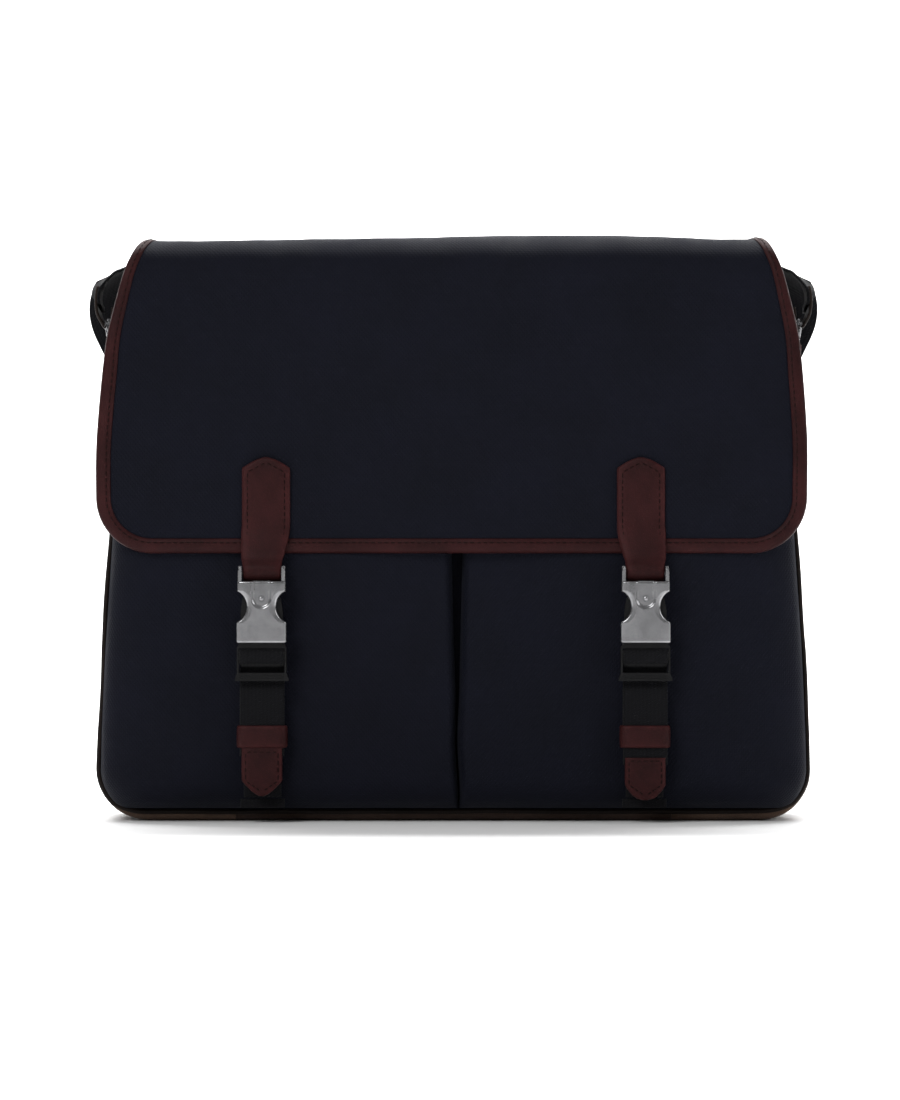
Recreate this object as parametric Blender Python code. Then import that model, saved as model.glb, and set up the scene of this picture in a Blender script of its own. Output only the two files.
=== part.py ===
"""Messenger bag with a buckled flap, two front pockets and a webbing shoulder strap.

X runs across the bag, Y from its front (minus) to its back (plus), Z up from the floor.
All lengths are in metres. The origin is on the underside of the base.
"""
import math

import bmesh
import bpy
from mathutils import Matrix, Vector

NAME = "messenger_bag"
GAP = 0.0003

# Body: half width at each height, and where the walls stand.
BODY_SIDES = ((0.029, 0.202), (0.097, 0.199), (0.158, 0.195), (0.220, 0.191), (0.262, 0.187),
              (0.290, 0.181), (0.303, 0.174))
CORNER_R = 0.029
BODY_TOP = 0.303
FRONT_Y = -0.035
BACK_Y = 0.045
WALL = 0.003
PIPING_R = 0.0014
SEAM_X = 0.123
CORNER_TOP = 0.042

# Front pockets.
POCKET_Y = -0.055
POCKET_TOP = 0.215
POCKET_BOTTOM = 0.0065
POCKET_WALL = 0.002
DIVIDE_X = 0.002
DIVIDE_CLOSED_Z = 0.052
DIVIDE_SPREAD = 0.051

# Flap: the sheet's middle line seen from the side, (y, z, half width), from the back seam to the fold.
FLAP_T = 0.002
FLAP_TOP_LINE = ((0.0467, 0.3008, 0.1655), (0.0467, 0.308, 0.166), (0.0433, 0.3165, 0.1665),
                 (0.034, 0.3245, 0.1685), (0.018, 0.3283, 0.170), (-0.022, 0.3292, 0.1715),
                 (-0.0425, 0.3272, 0.175), (-0.0545, 0.3195, 0.1795), (-0.0583, 0.3097, 0.1835))
HINGE = Vector((0.0, 0.0472, 0.2993))
FOLD = Vector((0.0, -0.0583, 0.308))
FLAP_FRONT_SIDES = ((0.3063, 0.184), (0.293, 0.188), (0.276, 0.192), (0.262, 0.194), (0.209, 0.198),
                    (0.1825, 0.198))
FLAP_BOTTOM = 0.1515
FLAP_CORNER_R = 0.031
BINDING_W = 0.008

# Buckle columns, left and right of the middle.
COLUMN_X = 0.107
TAB_X = 0.1045
TAB_W = 0.027
TAB_POINT_Z = 0.205
TAB_SHOULDER_Z = 0.199
TAB_T = 0.0018
TAB_Y = -0.0605
PIN_Y = -0.066
PIN_Z = 0.140
PIN_R = 0.0015
PIN_HALF = 0.0109
SOCKET_FRONT = -0.075
SOCKET_BACK = -0.064
SOCKET_LOW = 0.101
SOCKET_HIGH = 0.1357
SOCKET_HALF = 0.01375
WAIST_HALF = 0.008
CLIP_Y = -0.0695
WEB_W = 0.0248
WEB_T = 0.0016
KEEPER_LOW = 0.0425
KEEPER_HIGH = 0.055
TIP_LOW = {"left": 0.0157, "right": 0.0134}
TIP_HIGH = {"left": 0.042, "right": 0.037}

# Shoulder strap: the middle line of its left half, with the direction its outer face looks.
STRAP_W = 0.030
STRAP_T = 0.0018
STRAP_LINE = (((-0.2035, 0.005, 0.2915), (-1.0, 0.0, 0.0)),
              ((-0.2042, 0.0055, 0.2975), (-1.0, 0.0, 0.05)),
              ((-0.2015, 0.011, 0.3045), (-0.75, -0.35, 0.6)),
              ((-0.1945, 0.022, 0.3095), (-0.2, -0.1, 1.0)),
              ((-0.1935, 0.036, 0.3085), (0.0, 0.4, 0.9)),
              ((-0.1945, 0.049, 0.3010), (0.0, 0.85, 0.5)),
              ((-0.1965, 0.0545, 0.2880), (0.0, 1.0, 0.1)),
              ((-0.1910, 0.055, 0.2640), (0.0, 1.0, 0.0)),
              ((-0.1780, 0.056, 0.2250), (0.0, 1.0, 0.0)),
              ((-0.1550, 0.056, 0.1650), (0.0, 1.0, 0.0)),
              ((-0.1150, 0.056, 0.1120), (0.0, 1.0, 0.0)),
              ((-0.0600, 0.056, 0.0800), (0.0, 1.0, 0.0)),
              ((0.0, 0.056, 0.0700), (0.0, 1.0, 0.0)))
STRAP_PIVOT = Vector((0.0, 0.005, 0.285))
RING_R = 0.0021
RING_Y = 0.005
RING_HALF = 0.0185
RING_LOW = (0.1945, 0.268)
RING_HIGH = (0.1972, 0.2835)

MATERIALS = {
    "nylon": ((0.010, 0.011, 0.016), 0.75, 0.0),
    "leather": ((0.035, 0.014, 0.012), 0.5, 0.0),
    "dark_leather": ((0.012, 0.009, 0.008), 0.5, 0.0),
    "webbing": ((0.007, 0.007, 0.009), 0.8, 0.0),
    "zinc": ((0.42, 0.42, 0.43), 0.28, 1.0),
    "black_plastic": ((0.013, 0.013, 0.014), 0.4, 0.0),
    "lining_cloth": ((0.035, 0.035, 0.038), 0.8, 0.0),
    "board": ((0.05, 0.05, 0.05), 0.7, 0.0),
}


def clear_scene():
    for thing in list(bpy.data.objects):
        bpy.data.objects.remove(thing, do_unlink=True)


def collection(name):
    made = bpy.data.collections.new(name)
    bpy.context.scene.collection.children.link(made)
    return made


def material(name):
    """One material per slot, made on first use."""
    found = bpy.data.materials.get(name)
    if found:
        return found
    colour, roughness, metallic = MATERIALS[name]
    made = bpy.data.materials.new(name)
    made.use_nodes = True
    shader = made.node_tree.nodes["Principled BSDF"]
    shader.inputs["Base Color"].default_value = (*colour, 1.0)
    shader.inputs["Roughness"].default_value = roughness
    shader.inputs["Metallic"].default_value = metallic
    return made


def place(name, mesh, slot, where=None):
    """Put a mesh in the parts collection, or in the one named."""
    thing = bpy.data.objects.new(name, mesh)
    (where or PARTS).objects.link(thing)
    if slot:
        mesh.materials.clear()
        mesh.materials.append(material(slot))
    return thing


def from_curve(name, curve, slot, turn=Matrix(), where=None):
    """Turn a curve into a welded mesh, with its place in the mesh."""
    guide = bpy.data.objects.new(name + "_curve", curve)
    bpy.context.scene.collection.objects.link(guide)
    bpy.context.view_layer.update()
    mesh = bpy.data.meshes.new_from_object(guide.evaluated_get(bpy.context.evaluated_depsgraph_get()))
    bpy.data.objects.remove(guide)
    mesh.name = name
    form = bmesh.new()
    form.from_mesh(mesh)
    bmesh.ops.remove_doubles(form, verts=form.verts, dist=1e-6)
    form.transform(turn)
    bmesh.ops.recalc_face_normals(form, faces=form.faces)
    form.to_mesh(mesh)
    form.free()
    return place(name, mesh, slot, where)


def plate(name, outlines, y_front, y_back, slot, where=None):
    """A flat piece facing the front: its outline, and any holes, in x and z."""
    curve = bpy.data.curves.new(name, "CURVE")
    curve.dimensions = "2D"
    curve.fill_mode = "BOTH"
    curve.extrude = (y_back - y_front) / 2
    for outline in outlines:
        spline = curve.splines.new("POLY")
        spline.points.add(len(outline) - 1)
        for point, (x, z) in zip(spline.points, outline):
            point.co = (x, z, 0.0, 1.0)
        spline.use_cyclic_u = True
    turn = Matrix.Translation((0.0, (y_front + y_back) / 2, 0.0)) @ Matrix.Rotation(math.pi / 2, 4, "X")
    return from_curve(name, curve, slot, turn, where)


def tube(name, points, radius, slot, closed=False):
    """A round cord, wire or piping along a line of points."""
    curve = bpy.data.curves.new(name, "CURVE")
    curve.dimensions = "3D"
    curve.bevel_depth = radius
    curve.bevel_resolution = 2
    curve.use_fill_caps = not closed
    spline = curve.splines.new("POLY")
    spline.points.add(len(points) - 1)
    for point, co in zip(spline.points, points):
        point.co = (*co, 1.0)
    spline.use_cyclic_u = closed
    made = from_curve(name, curve, slot)
    made.data.shade_smooth()
    made.data.set_sharp_from_angle(angle=math.radians(50))
    return made


def block(name, low, high, slot, where=None):
    """A box between two corners."""
    form = bmesh.new()
    bmesh.ops.create_cube(form, size=1.0)
    for vert in form.verts:
        for axis in range(3):
            vert.co[axis] = high[axis] if vert.co[axis] > 0 else low[axis]
    mesh = bpy.data.meshes.new(name)
    form.to_mesh(mesh)
    form.free()
    return place(name, mesh, slot, where)


def rod(name, centre, axis, radius, length, slot):
    """A pin or stud: a cylinder along X or Y."""
    turn = Matrix.Rotation(math.pi / 2, 4, "Y" if axis == "X" else "X")
    form = bmesh.new()
    bmesh.ops.create_cone(form, cap_ends=True, segments=20, radius1=radius, radius2=radius, depth=length,
                          matrix=Matrix.Translation(centre) @ turn)
    mesh = bpy.data.meshes.new(name)
    form.to_mesh(mesh)
    form.free()
    made = place(name, mesh, slot)
    mesh.shade_smooth()
    mesh.set_sharp_from_angle(angle=math.radians(40))
    return made


def smooth_line(points, steps):
    """Points along a smooth curve through the given ones (Catmull-Rom)."""
    points = [Vector(p) for p in points]
    ends = [2 * points[0] - points[1]] + points + [2 * points[-1] - points[-2]]
    line = []
    for a, b, c, d in zip(ends, ends[1:], ends[2:], ends[3:]):
        for step in range(steps):
            t = step / steps
            line.append(0.5 * (2 * b + (c - a) * t + (2 * a - 5 * b + 4 * c - d) * t * t
                               + (3 * b - a - 3 * c + d) * t ** 3))
    line.append(points[-1])
    return line


def ribbon(name, line, sides, widths, thickness, slot):
    """A strip of cloth or leather: a loft of rectangles along a line, closed at both ends."""
    form = bmesh.new()
    rings = []
    for i, point in enumerate(line):
        along = (line[min(i + 1, len(line) - 1)] - line[max(i - 1, 0)]).normalized()
        side = (sides[i] - sides[i].dot(along) * along).normalized()
        out = along.cross(side).normalized() * thickness / 2
        side = side * widths[i] / 2
        rings.append([form.verts.new(point + a * side + b * out)
                      for a, b in ((1, 1), (-1, 1), (-1, -1), (1, -1))])
    for low, high in zip(rings, rings[1:]):
        for k in range(4):
            form.faces.new((low[k], low[(k + 1) % 4], high[(k + 1) % 4], high[k]))
    form.faces.new(rings[0][::-1])
    form.faces.new(rings[-1])
    bmesh.ops.recalc_face_normals(form, faces=form.faces)
    mesh = bpy.data.meshes.new(name)
    form.to_mesh(mesh)
    form.free()
    return place(name, mesh, slot)


def side_ribbon(name, x, side_points, widths, thickness, slot):
    """A strip that lies across X, drawn from the side by its y and z."""
    line = [Vector((x, y, z)) for y, z in side_points]
    return ribbon(name, line, [Vector((1, 0, 0))] * len(line), widths, thickness, slot)


def cut(thing, cutter):
    """Subtract a cutter, which stays in the cutters collection as a wire."""
    cutter.hide_render = True
    cutter.display_type = "WIRE"
    boolean = thing.modifiers.new("cut", "BOOLEAN")
    boolean.operation = "DIFFERENCE"
    boolean.solver = "EXACT"
    boolean.object = cutter


def half_width(z, stations=BODY_SIDES):
    """The half width at a height, straight between the stations."""
    ordered = sorted(stations)
    for (z0, w0), (z1, w1) in zip(ordered, ordered[1:]):
        if z <= z1:
            share = max(0.0, (z - z0) / (z1 - z0))
            return w0 + (w1 - w0) * share
    return ordered[-1][1]


def arc(centre, radius, start, end, steps=8):
    """Points round part of a circle, angles in degrees."""
    return [(centre[0] + radius * math.cos(math.radians(start + (end - start) * i / steps)),
             centre[1] + radius * math.sin(math.radians(start + (end - start) * i / steps)))
            for i in range(steps + 1)]


def right_side(inset, top):
    """The body's right edge from the top down and round the bottom corner."""
    side = [(half_width(top) - inset, top)]
    side += [(w - inset, z) for z, w in reversed(BODY_SIDES) if CORNER_R < z < top]
    return side + arc((BODY_SIDES[0][1] - CORNER_R, CORNER_R), CORNER_R - inset, 0, -90)


def mirrored(points):
    return [(-x, z) for x, z in reversed(points)]


def body_outline(inset, top):
    side = right_side(inset, top)
    return side + mirrored(side)


def signed(side):
    return -1 if side == "left" else 1


def facing(points, sign):
    """Right-hand outline points turned to the side wanted."""
    return points if sign > 0 else mirrored(points)


def make_body():
    """The soft box of the bag: two panels, gussets, base, piping, lining and mouth binding."""
    panel = [body_outline(0.0036, BODY_TOP)]
    plate("front_panel", panel, FRONT_Y, FRONT_Y + WALL, "nylon")
    plate("back_panel", panel, BACK_Y - WALL, BACK_Y, "nylon")
    inner_front = FRONT_Y + WALL + 0.0004
    inner_back = BACK_Y - WALL - 0.0004
    outer = right_side(0.0, BODY_TOP)
    inner = right_side(WALL, BODY_TOP)
    for side in ("left", "right"):
        sign = signed(side)
        high = [p for p in outer if p[1] > CORNER_TOP]
        high_in = [p for p in inner if p[1] > CORNER_TOP]
        seam = [(half_width(CORNER_TOP), CORNER_TOP + GAP)]
        seam_in = [(half_width(CORNER_TOP) - WALL, CORNER_TOP + GAP)]
        gusset = high + seam + (high_in + seam_in)[::-1]
        plate(side + "_gusset", [facing(gusset, sign)], inner_front, inner_back, "nylon")
        bend = [(half_width(CORNER_TOP), CORNER_TOP)] + [p for p in outer if p[1] < CORNER_TOP]
        bend_in = [(half_width(CORNER_TOP) - WALL, CORNER_TOP)] + [p for p in inner if p[1] < CORNER_TOP]
        corner = bend + [(SEAM_X + GAP, 0.0), (SEAM_X + GAP, WALL)] + bend_in[::-1]
        plate(side + "_base_corner", [facing(corner, sign)], inner_front, inner_back, "leather")
    block("base_panel", (-SEAM_X, inner_front, 0.0), (SEAM_X, inner_back, WALL), "dark_leather")
    for name, y in (("front_piping", FRONT_Y + 0.0015), ("back_piping", BACK_Y - 0.0015)):
        route = [(x, y, z) for x, z in body_outline(0.0016, BODY_TOP - 0.001)]
        tube(name, route, PIPING_R, "dark_leather")
    lining = plate("lining", [body_outline(0.0034, BODY_TOP - 0.001)], inner_front, inner_back, "lining_cloth")
    hollow = plate("lining_hollow", [body_outline(0.0043, BODY_TOP + 0.01)], inner_front + 0.0009,
                   inner_back - 0.0009, None, CUTTERS)
    cut(lining, hollow)
    block("base_board", (-0.150, -0.028, 0.0047), (0.150, 0.038, 0.0067), "board")
    top_half = half_width(BODY_TOP)
    rim = block("mouth_binding", (-top_half, FRONT_Y, BODY_TOP + GAP), (top_half, BACK_Y, 0.306), "leather")
    mouth = block("mouth_hollow", (-top_half + 0.0055, FRONT_Y + 0.0055, BODY_TOP - 0.01),
                  (top_half - 0.0055, BACK_Y - 0.0055, 0.32), None, CUTTERS)
    cut(rim, mouth)


def divide_half(z):
    """Half the space between the two pockets at a height."""
    return 0.0004 + max(0.0, z - DIVIDE_CLOSED_Z) * DIVIDE_SPREAD / 2


def pocket_outline(sign, inset, top):
    """A pocket seen from the front, its inner edge along the dividing line."""
    heights = (POCKET_BOTTOM + inset, DIVIDE_CLOSED_Z, top)
    middle = [(DIVIDE_X + sign * (divide_half(z) + inset), z) for z in heights]
    edge = 0.003 + inset
    outer = [(sign * (half_width(top) - edge), top)]
    outer += [(sign * (w - edge), z) for z, w in reversed(BODY_SIDES) if CORNER_R < z < min(top, POCKET_TOP)]
    centre = (BODY_SIDES[0][1] - 0.003 - CORNER_R, POCKET_BOTTOM + CORNER_R)
    outer += [(sign * x, z) for x, z in arc(centre, CORNER_R - inset, 0, -90)]
    return outer + middle


def make_pockets():
    """Two patch pockets on the front, open at the top and closed by the front panel behind."""
    for side in ("left", "right"):
        sign = signed(side)
        back = FRONT_Y - GAP
        pocket = plate(side + "_pocket", [pocket_outline(sign, 0.0, POCKET_TOP)], POCKET_Y, back, "nylon")
        hollow = plate(side + "_pocket_hollow", [pocket_outline(sign, POCKET_WALL, POCKET_TOP + 0.01)],
                       POCKET_Y + POCKET_WALL, back + 0.01, None, CUTTERS)
        cut(pocket, hollow)
        ends = (DIVIDE_X + sign * 0.006, sign * (half_width(POCKET_TOP) - 0.004))
        block(side + "_pocket_binding", (min(ends), POCKET_Y - 0.0005, POCKET_TOP + GAP),
              (max(ends), POCKET_Y + 0.0025, POCKET_TOP + 0.004), "leather")


def flap_outline(inset):
    """The hanging part of the flap, right half from the fold down to the bottom middle."""
    side = [(w - inset, z) for z, w in FLAP_FRONT_SIDES]
    centre = (FLAP_FRONT_SIDES[-1][1] - FLAP_CORNER_R, FLAP_BOTTOM + FLAP_CORNER_R)
    return side + arc(centre, FLAP_CORNER_R - inset, 0, -90)


def make_flap():
    """The flap in two pieces, over the mouth and hanging in front, with leather binding round it."""
    line = smooth_line([(y, z, w) for y, z, w in FLAP_TOP_LINE], 3)
    side_points = [(p[0], p[1]) for p in line]
    edge = BINDING_W
    side_ribbon("flap_top", 0.0, side_points, [2 * (p[2] - edge - 3 * GAP) for p in line], FLAP_T, "nylon")
    for side in ("left", "right"):
        sign = signed(side)
        strip = [Vector((sign * (p[2] - edge / 2), p[0], p[1])) for p in line]
        ribbon(side + "_top_binding", strip, [Vector((1, 0, 0))] * len(strip), [edge] * len(strip),
               FLAP_T + 0.0006, "leather")
    y = FOLD.y
    inner = flap_outline(edge + GAP)
    plate("flap_front", [inner + mirrored(inner)], y - FLAP_T / 2, y + FLAP_T / 2, "nylon")
    outer = flap_outline(0.0)
    rim = flap_outline(edge)
    border = outer + mirrored(outer) + (rim + mirrored(rim))[::-1]
    plate("flap_binding", [border], y - FLAP_T / 2 - 0.0003, y + FLAP_T / 2 + 0.0003, "leather")


def make_tab(side, x):
    """A leather tab from the flap down and round the socket's pin."""
    loop_r = PIN_R + 0.0005 + TAB_T / 2
    front = [(TAB_Y, TAB_POINT_Z), (TAB_Y, TAB_SHOULDER_Z), (TAB_Y, 0.180), (TAB_Y, 0.163),
             (-0.0622, 0.156), (-0.0660, 0.148), (PIN_Y - loop_r, PIN_Z + 0.002)]
    loop = arc((PIN_Y, PIN_Z), loop_r, 180, 360)
    back = [(PIN_Y + loop_r, 0.1435)]
    widths = [0.004, TAB_W, TAB_W, TAB_W, 0.026, 0.0235] + [2 * (PIN_HALF - GAP)] * (len(loop) + 2)
    inward = signed(side) * (TAB_X - COLUMN_X)
    shares = [1.0, 1.0, 1.0, 1.0, 0.4, 0.0] + [0.0] * (len(loop) + 2)
    line = [Vector((x + inward * share, y, z)) for share, (y, z) in zip(shares, front + loop + back)]
    ribbon(side + "_flap_tab", line, [Vector((1, 0, 0))] * len(line), widths, TAB_T, "leather")


def socket_outline(x):
    """The metal socket from the front: shoulders, finger cut-outs and the wide mouth."""
    radius = 0.0095
    middle = (WAIST_HALF + radius, 0.1215)
    right = [(0.0125, SOCKET_HIGH), (0.0133, 0.1350), (0.0133, 0.1302)]
    right += arc(middle, radius, 114, 246, 10)
    right += [(SOCKET_HALF, 0.1121), (SOCKET_HALF, SOCKET_LOW + 0.001), (SOCKET_HALF - 0.001, SOCKET_LOW)]
    return [(x + px, z) for px, z in right + mirrored(right)]


def make_socket(side, x):
    """The socket with its tunnel and ears, the pin across the ears, and the stud on its face."""
    socket = plate(side + "_socket", [socket_outline(x)], SOCKET_FRONT, SOCKET_BACK, "zinc")
    tunnel = block(side + "_tunnel", (x - 0.012, CLIP_Y - 0.0027, SOCKET_LOW - 0.01),
                   (x + 0.012, CLIP_Y + 0.0027, 0.1283), None, CUTTERS)
    cut(socket, tunnel)
    for ear in (-1, 1):
        near, far = sorted((x + ear * (PIN_HALF + GAP), x + ear * 0.013))
        lug = block(side + "_ear_" + ("a" if ear < 0 else "b"), (near, PIN_Y - 0.0035, 0.134),
                    (far, SOCKET_BACK - 0.0001, 0.144), None, CUTTERS)
        lug.hide_render = True
        lug.display_type = "WIRE"
        join = socket.modifiers.new("ear", "BOOLEAN")
        join.operation = "UNION"
        join.solver = "EXACT"
        join.object = lug
    rod(side + "_socket_pin", (x, PIN_Y, PIN_Z), "X", PIN_R, 2 * PIN_HALF, "zinc")
    rod(side + "_socket_stud", (x, SOCKET_FRONT - 0.0008, 0.126), "Y", 0.0015, 0.001, "zinc")


def make_prong(side, x):
    """The black clip: a ladder lock for the webbing with a tongue that enters the socket."""
    frame = [(0.0125, 0.101), (0.0138, 0.0985), (0.0138, 0.084), (0.015, 0.0812), (0.015, 0.080)]
    tongue = [(-0.004, 0.101), (-0.004, 0.121), (-0.003, 0.123), (0.003, 0.123), (0.004, 0.121), (0.004, 0.101)]
    outline = tongue + frame + mirrored(frame)
    slots = [[(-0.0128, low), (0.0128, low), (0.0128, high), (-0.0128, high)]
             for low, high in ((0.0845, 0.0921), (0.0957, 0.0982))]
    shifted = [[(x + px, z) for px, z in loop] for loop in [outline] + slots]
    prong = plate(side + "_prong", shifted, CLIP_Y - 0.003, CLIP_Y + 0.003, "black_plastic")
    for name, low, high in (("front", -0.01, -0.0022), ("back", 0.0022, 0.01)):
        shave = block(side + "_shave_" + name, (x - 0.02, CLIP_Y + low, 0.1008), (x + 0.02, CLIP_Y + high, 0.13),
                      None, CUTTERS)
        cut(prong, shave)


def make_arm(side, end, x):
    """One springy side arm of the clip, showing in the socket's cut-out."""
    sign = signed(side) if end == "outer" else -signed(side)
    outline = [(0.0086, 0.1014), (0.0108, 0.1014), (0.0108, 0.110), (0.0117, 0.114), (0.0117, 0.119),
               (0.0106, 0.126), (0.0094, 0.127), (0.0086, 0.125), (0.0086, 0.112)]
    points = [(x + px, z) for px, z in facing(outline, sign)]
    plate(f"{side}_{end}_arm", [points], CLIP_Y - 0.0021, CLIP_Y + 0.0021, "black_plastic")


def make_strap(side, x):
    """The lower webbing through the ladder lock, its leather tip, keeper and sewn anchor."""
    tail_end = TIP_HIGH[side] + GAP
    side_points = [(-0.0578, 0.0145), (-0.0590, 0.019), (-0.0602, 0.027), (-0.0604, 0.042), (-0.0608, 0.058),
                   (-0.0632, 0.076), (-0.0632, 0.093), (-0.0642, 0.0962), (-0.066, 0.09695), (-0.0722, 0.09695),
                   (-0.0737, 0.0956), (-0.0737, 0.0916), (-0.0724, 0.0902), (-0.0672, 0.0886), (-0.06535, 0.0866),
                   (-0.06535, 0.0795), (-0.0666, 0.075), (-0.0672, 0.066), (-0.067, tail_end)]
    side_ribbon(side + "_strap_webbing", x, side_points, [WEB_W] * len(side_points), WEB_T, "webbing")
    low, high = TIP_LOW[side], TIP_HIGH[side]
    tip = [(0.0112, high), (0.0115, high - 0.002), (0.0112, low + 0.008), (0.0025, low)]
    tip = [(x + px, z) for px, z in tip + mirrored(tip)]
    plate(side + "_strap_tip", [tip], -0.0686, -0.0658, "leather")
    keeper = block(side + "_keeper", (x - 0.0150, -0.0698, KEEPER_LOW), (x + 0.0150, -0.0574, KEEPER_HIGH), "leather")
    way = block(side + "_keeper_way", (x - 0.0130, -0.0683, KEEPER_LOW - 0.01),
                (x + 0.0130, -0.0588, KEEPER_HIGH + 0.01), None, CUTTERS)
    cut(keeper, way)
    block(side + "_strap_anchor", (x - WEB_W / 2, POCKET_Y - 0.0019, 0.0085),
          (x + WEB_W / 2, POCKET_Y - GAP, 0.0135), "webbing")


def make_buckles():
    for side in ("left", "right"):
        x = signed(side) * COLUMN_X
        make_tab(side, x)
        make_socket(side, x)
        make_prong(side, x)
        make_arm(side, "outer", x)
        make_arm(side, "inner", x)
        make_strap(side, x)


def make_ring(side, sign):
    """The side ring, the leather chape that holds it and the leather end of the strap."""
    low = (sign * RING_LOW[0], RING_LOW[1])
    high = (sign * RING_HIGH[0], RING_HIGH[1])
    ring = []
    for (x, z), end in ((low, -1), (low, 1), (high, 1), (high, -1)):
        inward = 1 if z == low[1] else -1
        bend = [(0.0, inward * 0.003), (0.0012, inward * 0.0012), (0.003, 0.0)]
        if end == inward:
            bend.reverse()
        for back, lift in bend:
            ring.append((x + (high[0] - low[0]) * lift / (high[1] - low[1]), RING_Y + end * (RING_HALF - back),
                         z + lift))
    tube(side + "_ring", ring, RING_R, "zinc", closed=True)
    loop = RING_R + 0.0004 + 0.0009
    across = Vector((0, 1, 0))
    around = arc(RING_LOW, loop, 190, -130)
    chape = [(0.1923, 0.232), (0.1900, 0.245), (0.1896, 0.258)] + around + [(0.1935, 0.257)]
    line = [Vector((sign * x, RING_Y, z)) for x, z in chape]
    ribbon(side + "_ring_chape", line, [across] * len(line), [0.028] * len(line), 0.0018, "leather")
    wrap = arc(RING_HIGH, loop, 130, 350)
    end = [(0.1945, 0.2900)] + wrap + [(0.2022, 0.2868), (0.2034, 0.2908)]
    line = [Vector((sign * x, RING_Y, z)) for x, z in end]
    ribbon(side + "_strap_leather", line, [across] * len(line), [0.028] * len(line), 0.0018, "leather")


def make_shoulder_strap():
    """The webbing from ring to ring, hanging in a curve behind the back panel, and its slider."""
    half = [(Vector(p), Vector(n)) for p, n in STRAP_LINE]
    flip = Vector((-1, 1, 1))
    whole = half + [(p * flip, n * flip) for p, n in reversed(half[:-1])]
    line = smooth_line([p for p, n in whole], 4)
    faces = smooth_line([n for p, n in whole], 4)
    sides = []
    for i, face in enumerate(faces):
        along = line[min(i + 1, len(line) - 1)] - line[max(i - 1, 0)]
        sides.append(face.cross(along).normalized())
    ribbon("shoulder_webbing", line, sides, [STRAP_W] * len(line), STRAP_T, "webbing")
    start, end = Vector(STRAP_LINE[8][0]), Vector(STRAP_LINE[9][0])
    down = (end - start).normalized()
    middle = line[4 * 8 + 2]
    frame = Matrix((down.cross(Vector((0, 1, 0))), Vector((0, 1, 0)), -down)).transposed().to_4x4()
    frame.translation = middle
    slider = block("strap_slider", (-0.0195, -0.004, -0.011), (0.0195, 0.004, 0.011), "zinc")
    slot = block("slider_slot", (-0.0165, -0.0018, -0.02), (0.0165, 0.0018, 0.02), None, CUTTERS)
    for thing in (slider, slot):
        thing.data.transform(frame)
    cut(slider, slot)


clear_scene()
PARTS = collection(NAME)
CUTTERS = collection(NAME + "_cutters")
make_body()
make_pockets()
make_flap()
make_buckles()
for ring_side in ("left", "right"):
    make_ring(ring_side, signed(ring_side))
make_shoulder_strap()
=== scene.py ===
import math

import bpy
import numpy as np
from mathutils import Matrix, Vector, noise


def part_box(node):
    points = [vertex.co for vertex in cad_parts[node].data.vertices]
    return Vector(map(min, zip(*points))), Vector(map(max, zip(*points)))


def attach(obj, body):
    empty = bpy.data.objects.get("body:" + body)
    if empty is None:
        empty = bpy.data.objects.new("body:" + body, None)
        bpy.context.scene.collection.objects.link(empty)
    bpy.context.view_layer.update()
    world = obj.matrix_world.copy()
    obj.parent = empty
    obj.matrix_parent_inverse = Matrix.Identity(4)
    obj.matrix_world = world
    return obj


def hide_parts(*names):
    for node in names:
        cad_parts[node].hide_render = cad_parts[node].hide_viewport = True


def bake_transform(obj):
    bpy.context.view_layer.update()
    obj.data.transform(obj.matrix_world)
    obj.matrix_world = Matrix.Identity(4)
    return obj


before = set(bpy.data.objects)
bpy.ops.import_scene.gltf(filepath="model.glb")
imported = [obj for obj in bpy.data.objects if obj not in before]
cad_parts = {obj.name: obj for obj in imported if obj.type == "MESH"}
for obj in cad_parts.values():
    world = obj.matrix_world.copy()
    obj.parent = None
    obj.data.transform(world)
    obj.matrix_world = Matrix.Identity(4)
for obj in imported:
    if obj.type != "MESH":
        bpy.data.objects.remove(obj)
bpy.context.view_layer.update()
SCENE = bpy.context.scene

# Places read from the frame.
FRONT_LOW, FRONT_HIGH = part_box("front_panel")
BACK_LOW, BACK_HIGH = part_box("back_panel")
POCKET_LOW, POCKET_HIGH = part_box("left_pocket")
FLAP_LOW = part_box("flap_binding")[0]
SEAM_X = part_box("base_panel")[1].x
CORNER_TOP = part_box("left_base_corner")[1].z
CORNER_R = 0.029
BODY_TOP = FRONT_HIGH.z
PANEL_INSET = 0.0036
DIVIDE_X = 0.002
DIVIDE_CLOSED_Z = 0.052
DIVIDE_SPREAD = 0.051
BINDING_W = 0.008
WEB_T = 0.0016
WEB_W = 0.0248
TAB_W = 0.027
CLOTH_T = 0.0018
THIN_CLOTH_T = 0.0016
LEATHER_T = 0.0018
PIPING_R = 0.00145
PANEL_LOW_Z = 0.0066
POCKET_LOW_Z = 0.0072
BUCKLE_X = 0.106
UP = Vector((0, 0, 1))
ACROSS = Vector((1, 0, 0))
FORWARD = Vector((0, -1, 0))
BACKWARD = Vector((0, 1, 0))
SIDES = (("left", -1), ("right", 1))

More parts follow.
